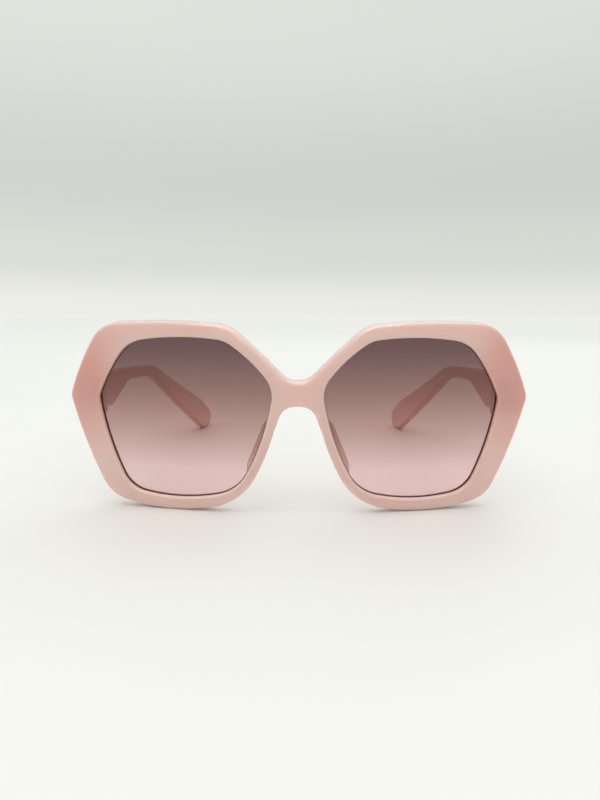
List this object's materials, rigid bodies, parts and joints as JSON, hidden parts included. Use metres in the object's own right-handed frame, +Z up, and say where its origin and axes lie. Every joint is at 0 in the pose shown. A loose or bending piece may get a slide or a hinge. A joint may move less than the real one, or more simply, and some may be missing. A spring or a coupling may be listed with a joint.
{
  "type": "sunglasses",
  "caption": "Oversized six-sided fashion sunglasses with a milky front, gradient tinted lenses and temples that fold on barrel hinges.",
  "frame": {"origin": "on the surface that the glasses stand on, under the centre of their box", "axes": "+Z up, the front faces -Y, the temples run to +Y and the wearer's left side is +X"},
  "size_m": [0.1506, 0.1606, 0.0634],
  "materials": {
    "front_plastic": "polished milky translucent pink",
    "temple_plastic": "polished milky translucent pink",
    "pad_plastic": "polished milky translucent pink",
    "lens_tint": "polished, brown-mauve at the top fading to pale pink",
    "hinge_metal": "satin nickel",
    "screw_metal": "bright steel"
  },
  "bodies": {
    "front": {"front_frame": "front_plastic", "left_lens": "lens_tint", "left_nose_pad": "pad_plastic", "left_front_hinge_leaf": "hinge_metal", "left_front_leaf_screw_upper": "screw_metal", "left_front_leaf_screw_lower": "screw_metal", "left_hinge_screw": "screw_metal", "right_lens": "lens_tint", "right_nose_pad": "pad_plastic", "right_front_hinge_leaf": "hinge_metal", "right_front_leaf_screw_upper": "screw_metal", "right_front_leaf_screw_lower": "screw_metal", "right_hinge_screw": "screw_metal"},
    "left_temple": {"left_temple": "temple_plastic", "left_temple_hinge_leaf": "hinge_metal", "left_temple_leaf_screw_front": "screw_metal", "left_temple_leaf_screw_rear": "screw_metal"},
    "right_temple": {"right_temple": "temple_plastic", "right_temple_hinge_leaf": "hinge_metal", "right_temple_leaf_screw_front": "screw_metal", "right_temple_leaf_screw_rear": "screw_metal"}
  },
  "joints": [
    {"name": "left_temple_fold", "type": "hinge", "parent": "front", "child": "left_temple", "pos_m": [0.0665, -0.06133, 0.0397], "axis": [0, 0, 1], "range_deg": [0, 84]},
    {"name": "right_temple_fold", "type": "hinge", "parent": "front", "child": "right_temple", "pos_m": [-0.0665, -0.06133, 0.0397], "axis": [0, 0, -1], "range_deg": [0, 79]}
  ]
}
